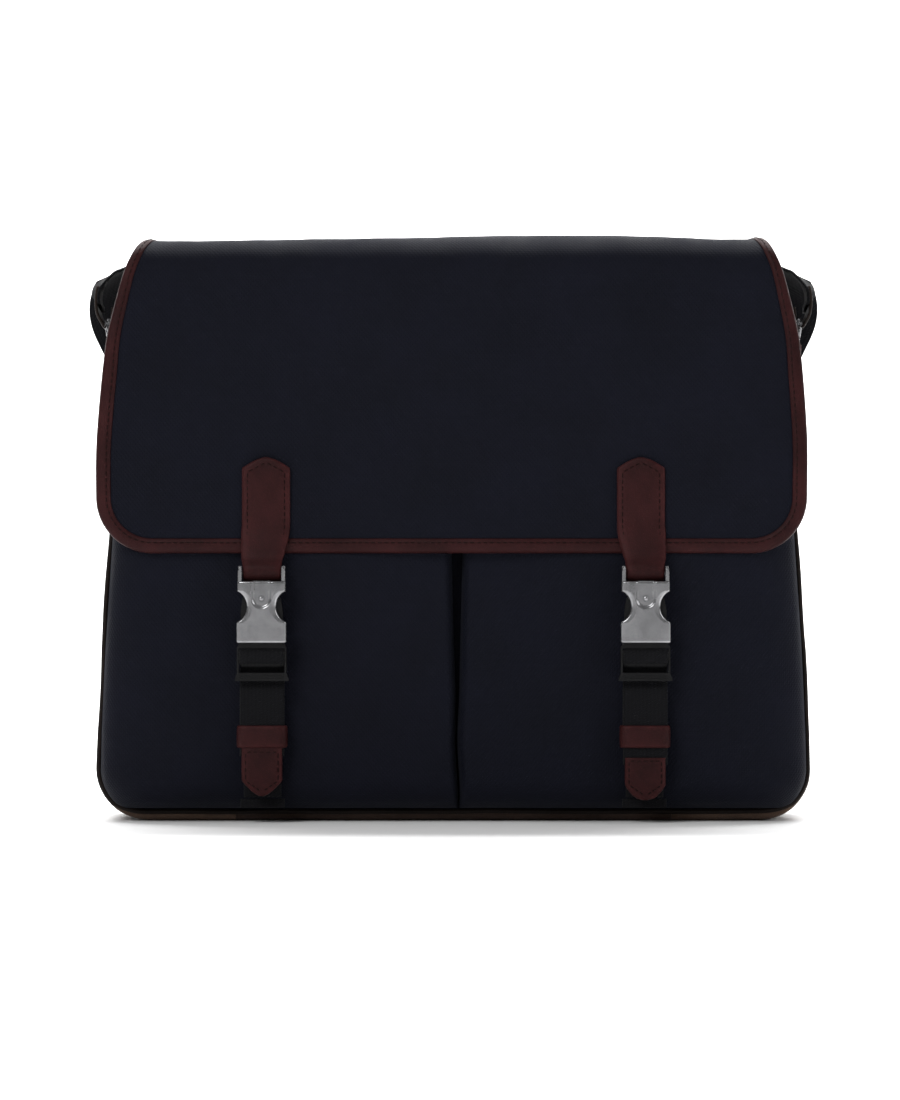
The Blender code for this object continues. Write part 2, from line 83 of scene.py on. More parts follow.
# The flap's middle line from the back seam over the top and down the front: y, z, half width.
FLAP_LINE = ((0.0467, 0.3003, 0.1655), (0.0467, 0.308, 0.166), (0.0433, 0.3165, 0.1665),
             (0.034, 0.3245, 0.1685), (0.018, 0.3283, 0.170), (-0.022, 0.3292, 0.1715),
             (-0.0435, 0.3276, 0.1745), (-0.0555, 0.3205, 0.1790), (-0.0586, 0.3095, 0.1835),
             (-0.0588, 0.293, 0.188), (-0.0588, 0.276, 0.192), (-0.0588, 0.262, 0.194),
             (-0.0586, 0.235, 0.1965), (-0.0586, 0.209, 0.198), (-0.0586, 0.180, 0.198),
             (-0.0586, FLAP_LOW.z, 0.198))
FLAP_CORNER_R = 0.031
FLAP_SPREAD = 1.004
FLAP_DRIFT = -0.0012

# The shoulder strap's middle line, left half, and the direction its outer face looks.
STRAP_LINE = (((-0.2022, 0.005, 0.2915), (-1.0, 0.0, 0.0)),
              ((-0.2024, 0.0060, 0.2975), (-1.0, 0.0, 0.08)),
              ((-0.2006, 0.0110, 0.3068), (-0.80, -0.30, 0.5)),
              ((-0.1935, 0.0220, 0.3132), (-0.5, -0.1, 1.0)),
              ((-0.1940, 0.0360, 0.3112), (-0.4, 0.4, 0.9)),
              ((-0.1962, 0.0485, 0.3020), (-0.15, 0.85, 0.5)),
              ((-0.1972, 0.0545, 0.2880), (0.0, 1.0, 0.1)),
              ((-0.1870, 0.055, 0.2640), (0.0, 1.0, 0.0)),
              ((-0.1780, 0.056, 0.2250), (0.0, 1.0, 0.0)),
              ((-0.1550, 0.056, 0.1650), (0.0, 1.0, 0.0)),
              ((-0.1150, 0.056, 0.1120), (0.0, 1.0, 0.0)),
              ((-0.0600, 0.056, 0.0800), (0.0, 1.0, 0.0)),
              ((0.0, 0.056, 0.0700), (0.0, 1.0, 0.0)))


# ---- materials ----

def shader(name, colour, roughness, metallic=0.0, **settings):
    made = bpy.data.materials.new(name)
    made.use_nodes = True
    tree = made.node_tree
    bsdf = tree.nodes["Principled BSDF"]
    bsdf.inputs["Base Color"].default_value = (*colour, 1.0)
    bsdf.inputs["Roughness"].default_value = roughness
    bsdf.inputs["Metallic"].default_value = metallic
    for label, value in settings.items():
        bsdf.inputs[label.replace("_", " ")].default_value = value
    return made, tree, bsdf


def node(tree, kind, **inputs):
    made = tree.nodes.new(kind)
    for label, value in inputs.items():
        socket = made.inputs[label.replace("_", " ")]
        if isinstance(value, bpy.types.NodeSocket):
            tree.links.new(value, socket)
        else:
            socket.default_value = value
    return made


def math_node(tree, operation, a, b):
    made = tree.nodes.new("ShaderNodeMath")
    made.operation = operation
    for socket, value in zip(made.inputs, (a, b)):
        if isinstance(value, bpy.types.NodeSocket):
            tree.links.new(value, socket)
        else:
            socket.default_value = value
    return made.outputs[0]


def times(tree, a, b):
    return math_node(tree, "MULTIPLY", a, b)


def plus(tree, a, b):
    return math_node(tree, "ADD", a, b)


def wave(tree, vector, pitch, direction, distortion=0.0):
    """Bands one pitch apart, in the coordinate's own metres."""
    made = node(tree, "ShaderNodeTexWave", Vector=vector, Scale=math.pi / (10 * pitch),
                Distortion=distortion, Detail=1.0, Detail_Scale=2.0)
    made.bands_direction = direction
    return made.outputs["Fac"]


def grain(tree, vector, size, detail, roughness=0.55):
    made = node(tree, "ShaderNodeTexNoise", Vector=vector, Scale=1.0 / size, Detail=detail,
                Roughness=roughness)
    return made.outputs["Fac"]


def paint(tree, bsdf, share, low, high):
    """Base colour between two, by a share."""
    made = node(tree, "ShaderNodeMix")
    made.data_type = "RGBA"
    tree.links.new(share, made.inputs[0])
    made.inputs[6].default_value = (*low, 1.0)
    made.inputs[7].default_value = (*high, 1.0)
    tree.links.new(made.outputs[2], bsdf.inputs["Base Color"])


def span(tree, value, low, high, out_low, out_high):
    made = node(tree, "ShaderNodeMapRange", Value=value, From_Min=low, From_Max=high, To_Min=out_low,
                To_Max=out_high)
    return made.outputs[0]


def bump(tree, bsdf, height, distance, strength):
    made = node(tree, "ShaderNodeBump", Height=height, Distance=distance, Strength=strength)
    tree.links.new(made.outputs[0], bsdf.inputs["Normal"])


def coordinates(tree, kind="UV"):
    return tree.nodes.new("ShaderNodeTexCoord").outputs[kind]


def turned(tree, vector, degrees):
    return node(tree, "ShaderNodeMapping", Vector=vector, Rotation=(0, 0, math.radians(degrees))).outputs[0]


def make_nylon(name, low, high, pitch=0.0013, sheen=0.03):
    """A tight twill: crossed yarns with a diagonal rib, a few lighter yarns and soft rubbed patches."""
    made, tree, bsdf = shader(name, high, 0.7, Sheen_Weight=sheen, Sheen_Roughness=0.45,
                              Specular_IOR_Level=0.06)
    bsdf.inputs["Sheen Tint"].default_value = (0.55, 0.6, 0.75, 1.0)
    uv = coordinates(tree)
    yarns = times(tree, wave(tree, uv, pitch, "X", 0.4), wave(tree, uv, pitch, "Y", 0.4))
    rib = wave(tree, turned(tree, uv, 38), pitch * 1.35, "X", 0.6)
    height = plus(tree, times(tree, yarns, 0.6), times(tree, rib, 0.5))
    patches = grain(tree, uv, 0.045, 5.0)
    fleck = grain(tree, uv, 0.0016, 3.0, 0.7)
    share = plus(tree, times(tree, height, 0.35), times(tree, span(tree, patches, 0.3, 0.7, 0.0, 1.0), 0.35))
    share = plus(tree, share, times(tree, fleck, 0.3))
    paint(tree, bsdf, share, low, high)
    tree.links.new(span(tree, patches, 0.3, 0.7, 0.6, 0.78), bsdf.inputs["Roughness"])
    bump(tree, bsdf, plus(tree, height, times(tree, fleck, 0.5)), 0.00022, 0.75)
    return made


def make_leather(name, low, high):
    """Pebbled hide with creases, darker pores, lighter rubbed places and, on strips, rubbed edges."""
    made, tree, bsdf = shader(name, high, 0.5, Specular_IOR_Level=0.08)
    uv = coordinates(tree)
    cells = node(tree, "ShaderNodeTexVoronoi", Vector=uv, Scale=1 / 0.0011, Randomness=1.0)
    cells.feature = "DISTANCE_TO_EDGE"
    pebbles = span(tree, cells.outputs["Distance"], 0.0, 0.35, 0.0, 1.0)
    creases = grain(tree, uv, 0.006, 6.0, 0.65)
    rubbed = grain(tree, uv, 0.028, 4.0)
    share = plus(tree, times(tree, pebbles, 0.3), times(tree, span(tree, rubbed, 0.3, 0.7, 0.0, 1.0), 0.5))
    share = plus(tree, share, times(tree, creases, 0.25))
    edges = tree.nodes.new("ShaderNodeAttribute")
    edges.attribute_name = "rubbed_edge"
    worn = times(tree, edges.outputs["Fac"], span(tree, creases, 0.35, 0.65, 0.15, 0.75))
    paint(tree, bsdf, plus(tree, share, worn), low, high)
    tree.links.new(span(tree, creases, 0.3, 0.7, 0.36, 0.58), bsdf.inputs["Roughness"])
    bump(tree, bsdf, plus(tree, times(tree, pebbles, 0.35), creases), 0.0003, 0.6)
    return made


def make_webbing():
    """Flat woven webbing: chevron ribs along its length."""
    made, tree, bsdf = shader("webbing", (0.006, 0.006, 0.007), 0.72, Sheen_Weight=0.04, Sheen_Roughness=0.5,
                              Specular_IOR_Level=0.08)
    uv = coordinates(tree)
    lengthwise = wave(tree, uv, 0.0021, "X", 0.2)
    across = wave(tree, turned(tree, uv, 28), 0.0012, "Y", 0.3)
    height = plus(tree, times(tree, lengthwise, 0.7), across)
    fuzz = grain(tree, uv, 0.0009, 3.0, 0.7)
    share = times(tree, plus(tree, height, fuzz), 0.37)
    paint(tree, bsdf, share, (0.0014, 0.0014, 0.0019), (0.0062, 0.0062, 0.0078))
    bump(tree, bsdf, height, 0.00018, 0.7)
    return made


def make_zinc():
    """Cast zinc, polished along its length, with faint hairlines and clouding."""
    made, tree, bsdf = shader("zinc", (0.40, 0.40, 0.41), 0.25, 1.0)
    at = coordinates(tree, "Object")
    lines = node(tree, "ShaderNodeMapping", Vector=at, Scale=(1.0, 1.0, 0.04)).outputs[0]
    brush = grain(tree, lines, 0.0006, 3.0, 0.6)
    cloud = grain(tree, at, 0.009, 3.0)
    paint(tree, bsdf, cloud, (0.17, 0.17, 0.175), (0.45, 0.45, 0.465))
    tree.links.new(span(tree, brush, 0.3, 0.7, 0.18, 0.27), bsdf.inputs["Roughness"])
    bump(tree, bsdf, brush, 0.000015, 0.35)
    return made


def make_plastic():
    """Moulded acetal with a fine spark texture and a faint haze."""
    made, tree, bsdf = shader("black_plastic", (0.007, 0.007, 0.008), 0.4, Specular_IOR_Level=0.16)
    at = coordinates(tree, "Object")
    spark = grain(tree, at, 0.00045, 2.0)
    haze = grain(tree, at, 0.008, 3.0)
    paint(tree, bsdf, haze, (0.0022, 0.0022, 0.0026), (0.0070, 0.0070, 0.0078))
    tree.links.new(span(tree, haze, 0.3, 0.7, 0.3, 0.48), bsdf.inputs["Roughness"])
    bump(tree, bsdf, spark, 0.00006, 0.5)
    return made


def make_thread(name, low, high):
    made, tree, bsdf = shader(name, high, 0.6, Specular_IOR_Level=0.05)
    uv = coordinates(tree)
    twist = wave(tree, turned(tree, uv, 35), 0.0003, "X")
    paint(tree, bsdf, twist, low, high)
    bump(tree, bsdf, twist, 0.00005, 0.6)
    return made


def make_floor():
    return shader("studio_floor", (0.93, 0.93, 0.93), 0.6, Specular_IOR_Level=0.2)[0]


NYLON = make_nylon("nylon", (0.0020, 0.0024, 0.0048), (0.0078, 0.0084, 0.0150))
LINING = make_nylon("lining_cloth", (0.018, 0.018, 0.021), (0.045, 0.045, 0.050), 0.0009, 0.1)
LEATHER = make_leather("leather", (0.0080, 0.0023, 0.0025), (0.0420, 0.0108, 0.0112))
# Near-black leather: the piping's own colour; on the shoulder strap's ends, painted shade over brown leather.
DARK_LEATHER_AND_SHADE = make_leather("dark_leather", (0.0045, 0.0032, 0.0030), (0.018, 0.0125, 0.0105))
# The tan corner leather is painted lighter than its own tone: painted light on a base that faces down into
# shade.
BASE_LEATHER_PAINTED_LIGHT = make_leather("base_leather_painted_light", (0.040, 0.025, 0.0180), (0.135, 0.086, 0.062))
# The dark brown middle base leather is painted lighter than its own tone: painted light on a base that faces
# down into shade.
BASE_DARK_PAINTED_LIGHT = make_leather("base_dark_leather_painted_light", (0.018, 0.0112, 0.0090), (0.065, 0.0410, 0.0320))
WEBBING = make_webbing()
ZINC = make_zinc()
PLASTIC = make_plastic()
THREAD = make_thread("thread", (0.004, 0.0020, 0.0020), (0.020, 0.0085, 0.0080))
DARK_THREAD = make_thread("dark_thread", (0.003, 0.003, 0.0035), (0.012, 0.012, 0.013))


# ---- shape helpers ----

def smooth_line(points, steps):
    """Points along a smooth curve through the given ones (Catmull-Rom)."""
    points = [Vector(p) for p in points]
    ends = [2 * points[0] - points[1]] + points + [2 * points[-1] - points[-2]]
    line = []
    for a, b, c, d in zip(ends, ends[1:], ends[2:], ends[3:]):
        for step in range(steps):
            t = step / steps
            line.append(0.5 * (2 * b + (c - a) * t + (2 * a - 5 * b + 4 * c - d) * t * t
                               + (3 * b - a - 3 * c + d) * t ** 3))
    line.append(points[-1])
    return line


def lengths(points):
    """Distance along a line at each of its points."""
    total = [0.0]
    for a, b in zip(points, points[1:]):
        total.append(total[-1] + (Vector(b) - Vector(a)).length)
    return total


def looked_up(at, run, table):
    """The row of a table of places at a distance along its line."""
    return Vector([np.interp(at, run, table[:, k]) for k in range(3)])


def spread(points, step, closed=False):
    """The same line with its points a set distance apart."""
    points = [Vector(p) for p in points]
    if closed:
        points.append(points[0])
    run = lengths(points)
    count = max(2, round(run[-1] / step))
    at = np.linspace(0, run[-1], count + 1)
    table = np.array([tuple(p) for p in points])
    columns = [np.interp(at, run, table[:, k]) for k in range(table.shape[1])]
    made = [Vector(co) for co in np.stack(columns, axis=1)]
    return made[:-1] if closed else made


def tangent(line, i, closed=False):
    n = len(line)
    if closed:
        return (line[(i + 1) % n] - line[(i - 1) % n]).normalized()
    return (line[min(i + 1, n - 1)] - line[max(i - 1, 0)]).normalized()


def mesh_object(name, verts, faces, uvs, material):
    mesh = bpy.data.meshes.new(name)
    mesh.from_pydata([tuple(v) for v in verts], [], faces)
    layer = mesh.uv_layers.new(name="UVMap")
    flat = np.array([uvs[corner] for face in faces for corner in face], dtype=np.float32)
    layer.data.foreach_set("uv", flat.ravel())
    mesh.shade_smooth()
    mesh.materials.append(material)
    made = bpy.data.objects.new(name, mesh)
    SCENE.collection.objects.link(made)
    return made


def finish_piece(made, body, slot, *replaced):
    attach(made, body)
    if replaced:
        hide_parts(*replaced)
    return made


def surface(name, rows, material, thickness=0.0, flip=False, loop=False):
    """A sheet through rows of points, with its measured metres as its UV map."""
    count = len(rows[0])
    verts = [Vector(p) for row in rows for p in row]
    down = lengths([sum((Vector(p) for p in row), Vector()) / count for row in rows])
    uvs = []
    for k, row in enumerate(rows):
        run = lengths(row)
        uvs += [(r - run[-1] / 2, down[k]) for r in run]
    faces = []
    for i in range(len(rows) - 1):
        for j in range(count if loop else count - 1):
            a, b = i * count + j, i * count + (j + 1) % count
            face = (a, b, b + count, a + count)
            faces.append(face[::-1] if flip else face)
    made = mesh_object(name, verts, faces, uvs, material)
    if thickness:
        solid = made.modifiers.new("thickness", "SOLIDIFY")
        solid.thickness = thickness
        solid.offset = -1.0
        solid.use_even_offset = False
    return made


def loft(name, rings, material, closed=False):
    """A closed body through rings of points, capped at its ends unless it runs round to its start."""
    count = len(rings[0])
    verts = [Vector(p) for ring in rings for p in ring]
    middles = [sum((Vector(p) for p in ring), Vector()) / count for ring in rings]
    down = lengths(middles)
    uvs = []
    for k, ring in enumerate(rings):
        run = lengths(ring)
        uvs += [(r, down[k]) for r in run]
    faces = []
    turns = len(rings) if closed else len(rings) - 1
    for i in range(turns):
        low, high = i * count, ((i + 1) % len(rings)) * count
        for j in range(count):
            k = (j + 1) % count
            faces.append((low + j, low + k, high + k, high + j))
    if not closed:
        faces.append(tuple(range(count))[::-1])
        faces.append(tuple(range((len(rings) - 1) * count, len(rings) * count)))
    volume = 0.0
    for face in faces:
        a = verts[face[0]]
        for b, c in zip(face[1:], face[2:]):
            volume += a.dot(verts[b].cross(verts[c]))
    if volume < 0:
        faces = [face[::-1] for face in faces]
    return mesh_object(name, verts, faces, uvs, material)


def strip_section(width, thickness, crown):
    """A flat strip's cross-section with rounded edges: (across, out) pairs."""
    width = float(width)
    columns = 6
    r = thickness / 2
    flat = [-(width / 2 - r) + (width - 2 * r) * i / columns for i in range(columns + 1)]
    top = [(a, r + crown * (1 - (2 * a / width) ** 2)) for a in flat]
    turns = (math.pi / 4, math.pi / 2, 3 * math.pi / 4)
    right = [(width / 2 - r + r * math.sin(t), r * math.cos(t)) for t in turns]
    bottom = [(a, -r) for a in reversed(flat)]
    left = [(-a, b) for a, b in reversed(right)]
    return top + right + bottom + left


# How rubbed each point of a strip's section is: one face and one edge, twice.
STRIP_RUB = [0.7, 0.1, 0.0, 0.0, 0.0, 0.1, 0.7, 1.0, 1.0, 1.0] * 2


def strip(name, line, sides, widths, thickness, material, crown=0.0, closed=False):
    """A strap of cloth or leather along a line; sides and widths are one for all or one for each point."""
    sides = [sides] * len(line) if isinstance(sides, Vector) else sides
    widths = [widths] * len(line) if isinstance(widths, float) else widths
    rings = []
    for i, point in enumerate(line):
        along = tangent(line, i, closed)
        side = (sides[i] - sides[i].dot(along) * along).normalized()
        out = along.cross(side).normalized()
        rings.append([point + a * side + b * out for a, b in strip_section(widths[i], thickness, crown)])
    made = loft(name, rings, material, closed)
    rub = made.data.attributes.new("rubbed_edge", "FLOAT", "POINT")
    rub.data.foreach_set("value", STRIP_RUB * len(rings))
    return made


def tube(name, line, radius, material):
    sides = 12
    rings = []
    side = None
    for i, point in enumerate(line):
        along = tangent(line, i)
        side = side or along.orthogonal()
        side = (side - side.dot(along) * along).normalized()
        out = along.cross(side)
        rings.append([point + radius * (math.cos(t) * side + math.sin(t) * out)
                      for t in (2 * math.pi * k / sides for k in range(sides))])
    return loft(name, rings, material)


def stitches(name, rows, pitch, material, radius=0.00032):
    """Rows of raised thread stitches; each row is a line of (point, outward normal) pairs."""
    share = 0.68
    profile = ((-0.5, -0.5, 0.35), (-0.38, 0.35, 0.9), (0.0, 0.65, 1.0), (0.38, 0.35, 0.9), (0.5, -0.5, 0.35))
    verts, faces, uvs = [], [], []
    for row in rows:
        points, normals = zip(*row)
        run = lengths(points)
        count = max(2, round(run[-1] / pitch))
        places = np.array([tuple(p) for p in points])
        outs = np.array([tuple(n) for n in normals])
        for k in range(count):
            rings = []
            for e, lift, size in profile:
                s = (k + 0.5 + e * share) * run[-1] / count
                at = looked_up(s, run, places)
                out = looked_up(s, run, outs).normalized()
                rings.append((at + out * radius * lift, out, size * radius))
            along = (rings[-1][0] - rings[0][0]).normalized()
            first = len(verts)
            for at, out, size in rings:
                side = along.cross(out).normalized()
                for j in range(6):
                    t = j * math.pi / 3
                    verts.append(at + size * (math.cos(t) * side + math.sin(t) * out))
                    uvs.append((j * 0.0004, (at - rings[0][0]).length))
            for i in range(4):
                for j in range(6):
                    a, b = first + i * 6 + j, first + i * 6 + (j + 1) % 6
                    faces.append((a, a + 6, b + 6, b))
            faces.append(tuple(first + j for j in range(6)))
            faces.append(tuple(first + 24 + j for j in reversed(range(6))))
    return mesh_object(name, verts, faces, uvs, material)


def sew(name, rows, pitch, body):
    """Stitches in leather that ride on a body."""
    finish_piece(stitches(name, rows, pitch, THREAD), body, "leather")


def facing(points, normal):
    """A stitch row whose points all look one way."""
    return [(p, normal) for p in points]


def rounded_loop(x, front, back, radius, z, steps):
    """A round-cornered rectangle in plan, from the back right corner by way of the front."""
    corners = (((x - radius, back - radius), 90), ((x - radius, front + radius), 0),
               ((-x + radius, front + radius), -90), ((-x + radius, back - radius), -180))
    return [Vector((px, py, z)) for centre, start in corners
            for px, py in arc(centre, radius, start, start - 90, steps)]


def crumple(x, y, size, seed):
    return noise.noise(Vector((x / size, y / size, seed)))


def arc(centre, radius, start, end, steps):
    return [(centre[0] + radius * math.cos(math.radians(start + (end - start) * i / steps)),
             centre[1] + radius * math.sin(math.radians(start + (end - start) * i / steps)))
            for i in range(steps + 1)]


# ---- body ----

def body_edge():
    """Heights and half widths of the body, read from the CAD front panel's outline."""
    found = {}
    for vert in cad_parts["front_panel"].data.vertices:
        if vert.co.x > 0:
            z = round(vert.co.z, 5)
            found[z] = max(found.get(z, 0.0), vert.co.x)
    heights = sorted(found)
    return heights, [found[z] + PANEL_INSET for z in heights]


EDGE_Z, EDGE_X = body_edge()
SIDE_Z = [z for z in EDGE_Z if z > CORNER_R - 0.001]
SIDE_X = [x for z, x in zip(EDGE_Z, EDGE_X) if z > CORNER_R - 0.001]
BASE_HALF = SIDE_X[0]


def half(z):
    """Half the body's width at a height, with the round bottom corners."""
    if z >= CORNER_R:
        return float(np.interp(z, SIDE_Z, SIDE_X))
    drop = CORNER_R - max(z, 0.0)
    return BASE_HALF - CORNER_R + math.sqrt(max(CORNER_R ** 2 - drop ** 2, 0.0))


def outline(top, step):
    """The body's outline in x and z, from the top left round the base to the top right."""
    heights = np.arange(top, CORNER_R, -step)
    side = [(half(z), z) for z in heights]
    side += arc((BASE_HALF - CORNER_R, CORNER_R), CORNER_R, 0, -90, 14)
    flat = np.arange(BASE_HALF - CORNER_R, -(BASE_HALF - CORNER_R), -step)[1:]
    left = [(-x, z) for x, z in side]
    return left + [(-x, 0.0) for x in flat] + side[::-1]


def inward_at(x, z):
    """The way into the body from a place on its outline."""
    if z >= CORNER_R:
        return Vector((-math.copysign(1, x), 0, 0))
    centre = Vector((math.copysign(min(abs(x), BASE_HALF - CORNER_R), x), 0, CORNER_R))
    return (centre - Vector((x, 0, z))).normalized()


def seam_inset(z):
    """How far a seam sits inside the outline: more at the base, where the leather turns up."""
    return float(np.interp(z, (0.0, 0.003, 0.0085, 0.05), (0.0052, 0.0040, 0.0022, 0.0013)))


def seam_corner():
    """Heights and half widths of a seam round a bottom corner."""
    middle = BASE_HALF - CORNER_R
    points = []
    for x, z in arc((middle, CORNER_R), CORNER_R, -90, 0, 40):
        share = seam_inset(z) / CORNER_R
        points.append((z + (CORNER_R - z) * share, x + (middle - x) * share))
    return zip(*points)


CORNER_SEAM_Z, CORNER_SEAM_X = seam_corner()


def seam_reach(z, gap):
    """Half the width inside a seam at a height."""
    if z >= CORNER_R:
        return half(z) - seam_inset(z) - gap
    return float(np.interp(z, CORNER_SEAM_Z, CORNER_SEAM_X)) - gap


def seam_line(y, step):
    """The piping's route round a panel."""
    route = []
    for x, z in outline(BODY_TOP - 0.0015, step):
        sag = 0.0009 * crumple(x, z, 0.05, 3.0)
        route.append(Vector((x, y, z)) + inward_at(x, z) * (seam_inset(z) + sag))
    return route


def panel_rows(y, face, puff, seed=0.0):
    """A puffed panel between the seams; face is the way it looks along y. Its rows are closer at the base."""
    rows, columns, gap, wrinkle = 64, 72, 0.0002, 0.0009
    close = 0.3
    rise_close = 1 - math.cos(math.pi * close / 2)
    made = []
    for k in range(rows + 1):
        share = k / rows
        if share < close:
            up = 1 - math.cos(math.pi * share / 2)
        else:
            up = rise_close + (share - close) / (1 - close) * (1 - rise_close)
        z = PANEL_LOW_Z + (BODY_TOP - PANEL_LOW_Z) * up
        reach = seam_reach(z, gap)
        row = []
        for j in range(columns + 1):
            u = math.sin(math.pi / 2 * (2 * j / columns - 1))
            x = u * reach
            rise = (1 - u ** 6) * (1 - max(0.0, 1 - (z - PANEL_LOW_Z) / 0.03) ** 2) * puff
            folds = crumple(x, z, 0.055, seed) + 0.5 * crumple(x, z, 0.02, seed + 5)
            rise += wrinkle * folds * (1 - u ** 8)
            rise *= min(max((BODY_TOP - 0.010 - z) / 0.035, 0.0), 1.0)
            row.append((x, y + face * rise, z))
        made.append(row)
    return made


def make_panels():
    front = surface("front_panel_cloth", panel_rows(FRONT_LOW.y + 0.0008, -1, 0.0008), NYLON, CLOTH_T)
    finish_piece(front, "root", "nylon", "front_panel")
    rows = panel_rows(BACK_HIGH.y - 0.0012, 1, 0.0032, seed=20.0)
    back = surface("back_panel_cloth", rows, NYLON, CLOTH_T, flip=True)
    finish_piece(back, "root", "nylon", "back_panel")


def band_rows(route, y_front, y_back, seed):
    """A gusset or base stretch: its route in x and z, rolled over at the front and back seams."""
    rows = []
    columns = 22
    for x, z in route:
        roll = max(seam_inset(z), 0.002)
        inward = inward_at(x, z)
        row = []
        for j in range(columns + 1):
            t = 2 * j / columns - 1
            y = (y_front + y_back) / 2 + (y_back - y_front) / 2 * math.sin(t * math.pi / 2)
            near = min(y - y_front, y_back - y)
            dip = roll * (1 - math.sqrt(max(0.0, 1 - max(0.0, 1 - near / (roll * 1.3)) ** 2)))
            wave_in = 0.0007 * crumple(x + z * 1.7, y, 0.035, seed)
            hollow = wave_in + 0.0014 * min(max((z - CORNER_R) / 0.02, 0.0), 1.0)
            row.append(Vector((x, y, z)) + inward * (dip + hollow * (1 - t ** 4)))
        rows.append(row)
    return rows


def make_bands():
    """The leather base with its two corners, and the nylon gussets, in one run round the body."""
    whole = outline(BODY_TOP, 0.004)
    front, back = FRONT_LOW.y + 0.0002, BACK_HIGH.y - 0.0002
    top_x = half(CORNER_TOP)
    ends = []
    for side, sign in SIDES:
        gusset = [p for p in whole if sign * p[0] > 0 and p[1] > CORNER_TOP + 0.0015][::sign]
        corner = [p for p in whole if sign * p[0] > SEAM_X + 0.001 and p[1] < CORNER_TOP - 0.001][::sign]
        gusset = [(sign * top_x, CORNER_TOP + 0.0003)] + gusset
        corner = [(sign * (SEAM_X + 0.0002), 0.0)] + corner + [(sign * top_x, CORNER_TOP)]
        # Base corners: tan leather painted lighter, as painted light where the base faces down into shade.
        ends.append([(side + "_gusset", gusset[::sign], NYLON, "nylon"),
                     (side + "_base_corner", corner[::sign], BASE_LEATHER_PAINTED_LIGHT, "leather")])
    base = [p for p in whole if abs(p[0]) < SEAM_X - 0.001 and p[1] < CORNER_R]
    base = [(-SEAM_X, 0.0)] + base + [(SEAM_X, 0.0)]
    # Base middle: dark brown leather painted lighter, as painted light where the base faces down into shade.
    parts = ends[0] + [("base_panel", base, BASE_DARK_PAINTED_LIGHT, "dark_leather")] + ends[1][::-1]
    for name, route, material, slot in parts:
        made = surface(name + "_cloth", band_rows(route, front, back, len(name)), material, THIN_CLOTH_T)
        finish_piece(made, "root", slot, name)


def make_piping():
    for name, y in (("front_piping", FRONT_LOW.y), ("back_piping", BACK_HIGH.y)):
        cord = tube(name + "_cord", seam_line(y, 0.003), PIPING_R, DARK_LEATHER_AND_SHADE)
        finish_piece(cord, "root", "dark_leather", name)


def make_mouth():
    """Leather folded over the mouth's edge, with its two rows of stitches."""
    inset = 0.0030
    path = rounded_loop(half(BODY_TOP) - inset, FRONT_LOW.y + inset, BACK_HIGH.y - inset, 0.006, 0.0, 5)
    path = spread(path, 0.004, closed=True)
    section = [(0.0030, -0.009), (0.0031, -0.002), (0.0026, 0.0012), (0.0, 0.0026), (-0.0026, 0.0012),
               (-0.0031, -0.002), (-0.0030, -0.009), (0.0, -0.0085)]
    rings, inner, outer = [], [], []
    for i, point in enumerate(path):
        side = tangent(path, i, True).cross(UP).normalized()
        lift = 0.0008 * math.sin(point.x * 55) if abs(point.y) > 0.02 else 0.0
        at = point + UP * (BODY_TOP + 0.0006 + lift)
        rings.append([at + side * a + UP * b for a, b in section])
        outer.append((at + side * 0.0032 - UP * 0.0062, side))
        inner.append((at - side * 0.0032 - UP * 0.0062, -side))
    rim = loft("mouth_binding_leather", rings, LEATHER, closed=True)
    finish_piece(rim, "root", "leather", "mouth_binding")
    sew("mouth_stitches", [row + row[:1] for row in (inner, outer)], 0.0038, "root")


def make_lining():
    """The lining hangs inside the mouth as a soft tub."""
    rows = []
    for k in range(40):
        z = BODY_TOP - 0.003 - (BODY_TOP - 0.0085) * k / 39
        x = half(z) - 0.0062
        loop = rounded_loop(x, FRONT_HIGH.y + 0.0014, BACK_LOW.y - 0.0014, 0.008, z, 4)
        loop = spread(loop, 0.008 * (x / 0.19), closed=True)
        loop.append(loop[0])
        run = lengths(loop)
        places = np.array([tuple(p) for p in loop])
        at = np.linspace(0, run[-1], 121)[:-1]
        rows.append([looked_up(s, run, places) for s in at])
    for row in rows[1:-1]:
        for p in row:
            p.y += 0.0007 * crumple(p.x, p.z, 0.04, 9.0)
    low = rows[-1]
    middle = sum(low, Vector()) / len(low)
    for share in (0.96, 0.8, 0.5, 0.15):
        rows.append([middle + (p - middle) * share - UP * 0.0006 * (1 - share) for p in low])
    finish_piece(surface("lining_tub", rows, LINING, 0.0006, loop=True), "root", "lining_cloth", "lining")


# ---- pockets ----

def divide_half(z):
    return 0.0005 + max(0.0, z - DIVIDE_CLOSED_Z) * DIVIDE_SPREAD / 2


def divide_middle(z):
    """The line between the pockets wanders a little where it is closed."""
    return DIVIDE_X + 0.0011 * math.sin(z * 95) * max(0.0, 1 - z / 0.09)


def quarter(distance, radius):
    """Rise of a quarter-round edge at a distance in from it."""
    share = min(max(distance / radius, 0.0), 1.0)
    return math.sqrt(1 - (1 - share) ** 2)


